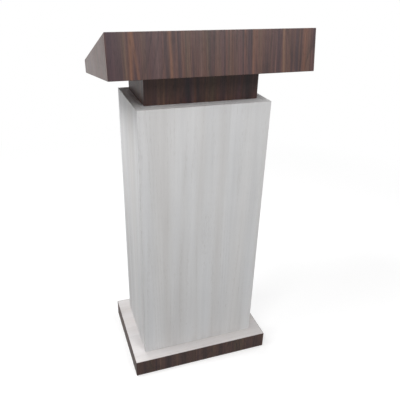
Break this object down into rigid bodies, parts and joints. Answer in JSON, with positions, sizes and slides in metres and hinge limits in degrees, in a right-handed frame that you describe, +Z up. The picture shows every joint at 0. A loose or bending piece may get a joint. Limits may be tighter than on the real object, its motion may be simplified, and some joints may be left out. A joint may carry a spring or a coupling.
{
  "type": "presentation lectern",
  "caption": "Free-standing lectern: sloped desk box on a recessed neck, hollow column with a lockable rear cupboard door, and a wider plinth on glides.",
  "frame": {"origin": "on the floor, under the centre of the overall bounding box", "axes": "+Z up; the audience is at -Y and the speaker stands at +Y; +X is on the right of someone in the audience who faces the lectern"},
  "size_m": [0.6, 0.4828, 1.2105],
  "materials": {
    "walnut_laminate": "satin walnut-pattern laminate with straight vertical grain",
    "pale_ash_laminate": "satin off-white ash-pattern laminate with fine vertical grain",
    "raw_board": "unfinished softwood and chipboard",
    "plated_steel": "satin nickel plate",
    "chrome": "polished chrome plate",
    "black_plastic": "fine-textured moulded plastic"
  },
  "bodies": {
    "carcass": {"board_cleat_front": "raw_board", "board_cleat_left": "raw_board", "board_cleat_right": "raw_board", "cable_grommet_sleeve": "black_plastic", "column_bottom_board": "pale_ash_laminate", "column_front_panel": "pale_ash_laminate", "column_left_panel": "pale_ash_laminate", "column_right_panel": "pale_ash_laminate", "column_top_board": "pale_ash_laminate", "corner_block_front_left": "raw_board", "corner_block_front_right": "raw_board", "corner_block_rear_left": "raw_board", "corner_block_rear_right": "raw_board", "cupboard_shelf": "pale_ash_laminate", "desk_bottom_panel": "walnut_laminate", "desk_front_panel": "walnut_laminate", "desk_left_panel": "walnut_laminate", "desk_rear_rail": "walnut_laminate", "desk_right_panel": "walnut_laminate", "glide_front_left": "black_plastic", "glide_front_right": "black_plastic", "glide_rear_left": "black_plastic", "glide_rear_right": "black_plastic", "hinge_lower_frame_leaf": "plated_steel", "hinge_lower_pin": "plated_steel", "hinge_upper_frame_leaf": "plated_steel", "hinge_upper_pin": "plated_steel", "lock_strike": "plated_steel", "neck_cleat_left": "raw_board", "neck_cleat_right": "raw_board", "neck_front_panel": "walnut_laminate", "neck_left_panel": "walnut_laminate", "neck_rear_panel": "walnut_laminate", "neck_right_panel": "walnut_laminate", "plinth_edging_front": "walnut_laminate", "plinth_edging_left": "walnut_laminate", "plinth_edging_rear": "walnut_laminate", "plinth_edging_right": "walnut_laminate", "plinth_rail_front": "raw_board", "plinth_rail_left": "raw_board", "plinth_rail_rear": "raw_board", "plinth_rail_right": "raw_board", "plinth_top_board": "pale_ash_laminate", "reading_board": "walnut_laminate", "shelf_pin_left_front": "plated_steel", "shelf_pin_left_rear": "plated_steel", "shelf_pin_right_front": "plated_steel", "shelf_pin_right_rear": "plated_steel"},
    "door": {"cupboard_door": "pale_ash_laminate", "door_handle": "plated_steel", "handle_screw_lower": "plated_steel", "handle_screw_upper": "plated_steel", "hinge_lower_door_leaf": "plated_steel", "hinge_upper_door_leaf": "plated_steel", "lock_housing": "chrome", "lock_nut": "plated_steel"},
    "lock_barrel": {"lock_plug": "chrome", "lock_cam": "plated_steel"},
    "key": {"lock_key": "chrome"},
    "grommet_cap": {"cable_grommet_cap": "black_plastic"}
  },
  "joints": [
    {"name": "door_hinge", "type": "hinge", "parent": "carcass", "child": "door", "pos_m": [0.194, 0.119, 0.5285], "axis": [0, 0, -1], "range_deg": [0, 110]},
    {"name": "lock_turn", "type": "hinge", "parent": "door", "child": "lock_barrel", "pos_m": [-0.168, 0.1, 0.7], "axis": [0, 1, 0], "range_deg": [0, 90]},
    {"name": "key_withdraw", "type": "slide", "parent": "lock_barrel", "child": "key", "axis": [0, 1, 0], "range_m": [0, 0.018]},
    {"name": "grommet_cap_turn", "type": "hinge", "parent": "carcass", "child": "grommet_cap", "pos_m": [0.205, -0.15176, 1.17713], "axis": [0, 0.3064, 0.9519], "continuous": true}
  ]
}
